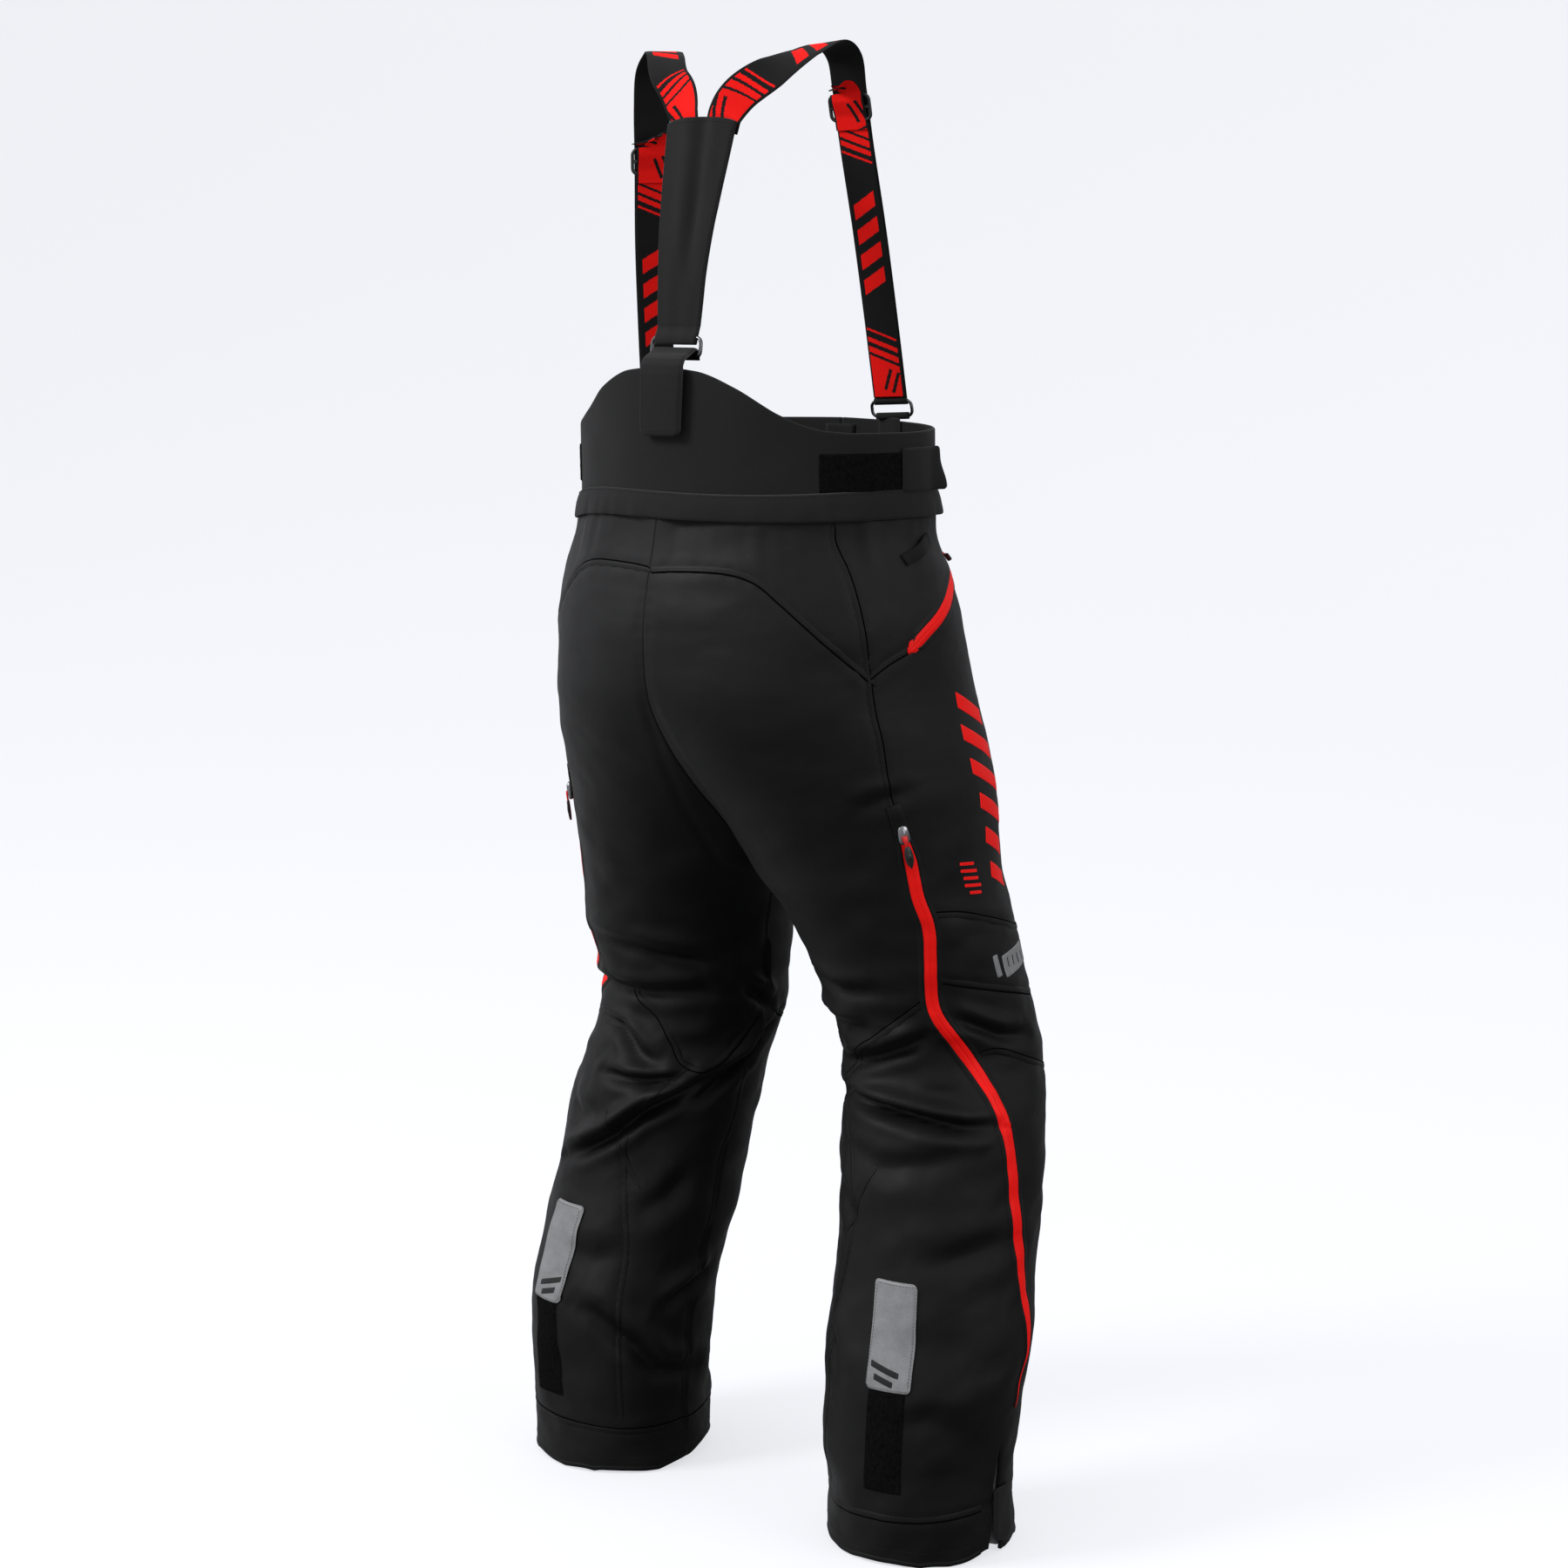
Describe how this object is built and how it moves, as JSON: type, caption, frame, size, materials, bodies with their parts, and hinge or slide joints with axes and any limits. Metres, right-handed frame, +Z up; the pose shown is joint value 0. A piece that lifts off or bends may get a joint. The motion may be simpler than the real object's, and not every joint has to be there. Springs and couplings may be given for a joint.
{
  "type": "bunker pants",
  "caption": "Insulated over-trousers with a high back collar, shoulder braces, hand-pocket, fly and leg-vent zips, and hook-and-loop tabs at waist, calf and cuff.",
  "frame": {"origin": "middle of the bounding box's underside, on the plane of the two hems", "axes": "+Z up along the standing wearer, the wearer faces -Y, the wearer's left is +X"},
  "size_m": [0.6546, 0.395, 1.5924],
  "materials": {
    "shell_cloth": "matt woven shell",
    "softshell": "matt brushed stretch cloth",
    "red_tape": "coated zip tape",
    "slider_metal": "dark plated",
    "ring_metal": "grey metal",
    "black_plastic": "moulded black",
    "webbing": "woven elastic webbing",
    "reflective_cloth": "silver reflective cloth",
    "lining": "grey lining",
    "zip_tape": "black zip tape"
  },
  "bodies": {
    "trousers": {"seat_left": "shell_cloth", "hip_side_left": "shell_cloth", "front_left": "shell_cloth", "knee_left": "shell_cloth", "seat_right": "shell_cloth", "hip_side_right": "shell_cloth", "front_right": "shell_cloth", "knee_right": "shell_cloth", "back_yoke": "shell_cloth", "back_collar": "softshell", "front_collar_left": "softshell", "front_collar_right": "softshell", "waistband": "softshell", "fly_zip": "zip_tape", "waist_snap": "ring_metal", "waist_loop_patch_left": "softshell", "waist_loop_patch_right": "softshell", "brace_yoke": "softshell", "strap_left": "webbing", "strap_return_left": "webbing", "strap_right": "webbing", "strap_return_right": "webbing", "vent_zip_left": "red_tape", "pocket_zip_left": "red_tape", "hip_loop_left": "webbing", "vent_zip_right": "red_tape", "pocket_zip_right": "red_tape", "hip_loop_right": "webbing"},
    "lower_leg_left": {"shin_left": "shell_cloth", "calf_left": "shell_cloth", "cuff_left": "shell_cloth", "gaiter_left": "lining"},
    "vent_slider_left": {"vent_slider_left": "slider_metal"},
    "vent_pull_left": {"vent_pull_left": "black_plastic"},
    "pocket_slider_left": {"pocket_slider_left": "slider_metal"},
    "pocket_pull_left": {"pocket_pull_left": "black_plastic"},
    "adjuster_left": {"adjuster_left": "black_plastic"},
    "front_ring_left": {"front_ring_left": "ring_metal"},
    "front_tab_left": {"front_tab_left": "softshell"},
    "waist_tab_left": {"waist_tab_left": "softshell"},
    "calf_tab_left": {"calf_tab_left": "reflective_cloth"},
    "cuff_tab_left": {"cuff_tab_left": "softshell"},
    "lower_leg_right": {"shin_right": "shell_cloth", "calf_right": "shell_cloth", "cuff_right": "shell_cloth", "gaiter_right": "lining"},
    "vent_slider_right": {"vent_slider_right": "slider_metal"},
    "vent_pull_right": {"vent_pull_right": "black_plastic"},
    "pocket_slider_right": {"pocket_slider_right": "slider_metal"},
    "pocket_pull_right": {"pocket_pull_right": "black_plastic"},
    "adjuster_right": {"adjuster_right": "black_plastic"},
    "front_ring_right": {"front_ring_right": "ring_metal"},
    "front_tab_right": {"front_tab_right": "softshell"},
    "waist_tab_right": {"waist_tab_right": "softshell"},
    "calf_tab_right": {"calf_tab_right": "reflective_cloth"},
    "cuff_tab_right": {"cuff_tab_right": "softshell"},
    "fly_slider": {"fly_slider": "slider_metal"},
    "fly_pull": {"fly_pull": "black_plastic"},
    "rear_ring": {"rear_ring": "ring_metal"},
    "rear_tab": {"rear_tab": "softshell"}
  },
  "joints": [
    {"name": "knee_left", "type": "hinge", "parent": "trousers", "child": "lower_leg_left", "pos_m": [0.1665, -0.07652, 0.585], "axis": [1, 0, 0], "range_deg": [0, 68], "deforming": ["knee_left", "vent_zip_left"]},
    {"name": "vent_slider_left", "type": "slide", "parent": "trousers", "child": "vent_slider_left", "axis": [0.092, -0.2616, -0.9608], "range_m": [0, 0.07]},
    {"name": "vent_pull_left", "type": "hinge", "parent": "vent_slider_left", "child": "vent_pull_left", "pos_m": [0.23855, 0.06105, 0.77602], "axis": [0.58, -0.7785, 0.24], "range_deg": [0, 110]},
    {"name": "pocket_slider_left", "type": "slide", "parent": "trousers", "child": "pocket_slider_left", "axis": [0.8472, 0.4991, -0.1819], "range_m": [0, 0.035]},
    {"name": "pocket_pull_left", "type": "hinge", "parent": "pocket_slider_left", "child": "pocket_pull_left", "pos_m": [0.15417, -0.11591, 1.05688], "axis": [0.0112, -0.3591, -0.9332], "range_deg": [0, 55]},
    {"name": "adjuster_left", "type": "slide", "parent": "trousers", "child": "adjuster_left", "axis": [-0.079, 0.094, 0.9924], "range_m": [0, 0.02]},
    {"name": "front_ring_left", "type": "hinge", "parent": "trousers", "child": "front_ring_left", "pos_m": [0.18611, -0.04129, 1.21872], "axis": [0.5093, 0.8572, -0.0763], "range_deg": [-12, 12]},
    {"name": "front_tab_left", "type": "hinge", "parent": "trousers", "child": "front_tab_left", "pos_m": [0.1885, -0.0432, 1.196], "axis": [0.3746, 0.9272, 0], "range_deg": [0, 28]},
    {"name": "waist_tab_left", "type": "hinge", "parent": "trousers", "child": "waist_tab_left", "pos_m": [0.2086, 0.04187, 1.154], "axis": [0, 0, 1], "range_deg": [0, 80]},
    {"name": "calf_tab_left", "type": "hinge", "parent": "lower_leg_left", "child": "calf_tab_left", "pos_m": [0.23345, 0.069, 0.304], "axis": [0.9775, -0.2078, 0.0362], "range_deg": [0, 85]},
    {"name": "cuff_tab_left", "type": "hinge", "parent": "lower_leg_left", "child": "cuff_tab_left", "pos_m": [0.31871, -0.02749, 0.043], "axis": [0, 0, -1], "range_deg": [0, 80]},
    {"name": "knee_right", "type": "hinge", "parent": "trousers", "child": "lower_leg_right", "pos_m": [-0.1665, -0.07652, 0.585], "axis": [1, 0, 0], "range_deg": [0, 68], "deforming": ["knee_right", "vent_zip_right"]},
    {"name": "vent_slider_right", "type": "slide", "parent": "trousers", "child": "vent_slider_right", "axis": [-0.092, -0.2616, -0.9608], "range_m": [0, 0.07]},
    {"name": "vent_pull_right", "type": "hinge", "parent": "vent_slider_right", "child": "vent_pull_right", "pos_m": [-0.23855, 0.06105, 0.77602], "axis": [0.58, 0.7785, -0.24], "range_deg": [0, 110]},
    {"name": "pocket_slider_right", "type": "slide", "parent": "trousers", "child": "pocket_slider_right", "axis": [-0.8472, 0.4991, -0.1819], "range_m": [0, 0.035]},
    {"name": "pocket_pull_right", "type": "hinge", "parent": "pocket_slider_right", "child": "pocket_pull_right", "pos_m": [-0.15417, -0.11591, 1.05688], "axis": [0.0112, 0.3591, 0.9332], "range_deg": [0, 55]},
    {"name": "adjuster_right", "type": "slide", "parent": "trousers", "child": "adjuster_right", "axis": [-0.0154, 0.2367, 0.9715], "range_m": [0, 0.006]},
    {"name": "front_ring_right", "type": "hinge", "parent": "trousers", "child": "front_ring_right", "pos_m": [-0.07803, -0.12264, 1.21674], "axis": [0.9551, 0.289, -0.0661], "range_deg": [-12, 12]},
    {"name": "front_tab_right", "type": "hinge", "parent": "trousers", "child": "front_tab_right", "pos_m": [-0.07616, -0.12238, 1.196], "axis": [0.9272, -0.3746, 0], "range_deg": [0, 28]},
    {"name": "waist_tab_right", "type": "hinge", "parent": "trousers", "child": "waist_tab_right", "pos_m": [-0.2086, 0.04187, 1.154], "axis": [0, 0, -1], "range_deg": [0, 80]},
    {"name": "calf_tab_right", "type": "hinge", "parent": "lower_leg_right", "child": "calf_tab_right", "pos_m": [-0.23345, 0.069, 0.304], "axis": [0.9775, 0.2078, -0.0362], "range_deg": [0, 85]},
    {"name": "cuff_tab_right", "type": "hinge", "parent": "lower_leg_right", "child": "cuff_tab_right", "pos_m": [-0.31871, -0.02749, 0.043], "axis": [0, 0, 1], "range_deg": [0, 80]},
    {"name": "fly_slider", "type": "slide", "parent": "trousers", "child": "fly_slider", "axis": [0, -0.2642, -0.9645], "range_m": [0, 0.05]},
    {"name": "fly_pull", "type": "hinge", "parent": "fly_slider", "child": "fly_pull", "pos_m": [0, -0.15991, 1.06818], "axis": [-1, 0, 0], "range_deg": [0, 110]},
    {"name": "rear_ring", "type": "hinge", "parent": "trousers", "child": "rear_ring", "pos_m": [0, 0.14418, 1.288], "axis": [1, 0, 0], "range_deg": [-10, 25]},
    {"name": "rear_tab", "type": "hinge", "parent": "trousers", "child": "rear_tab", "pos_m": [0, 0.17738, 1.259], "axis": [1, 0, 0], "range_deg": [0, 80]}
  ]
}
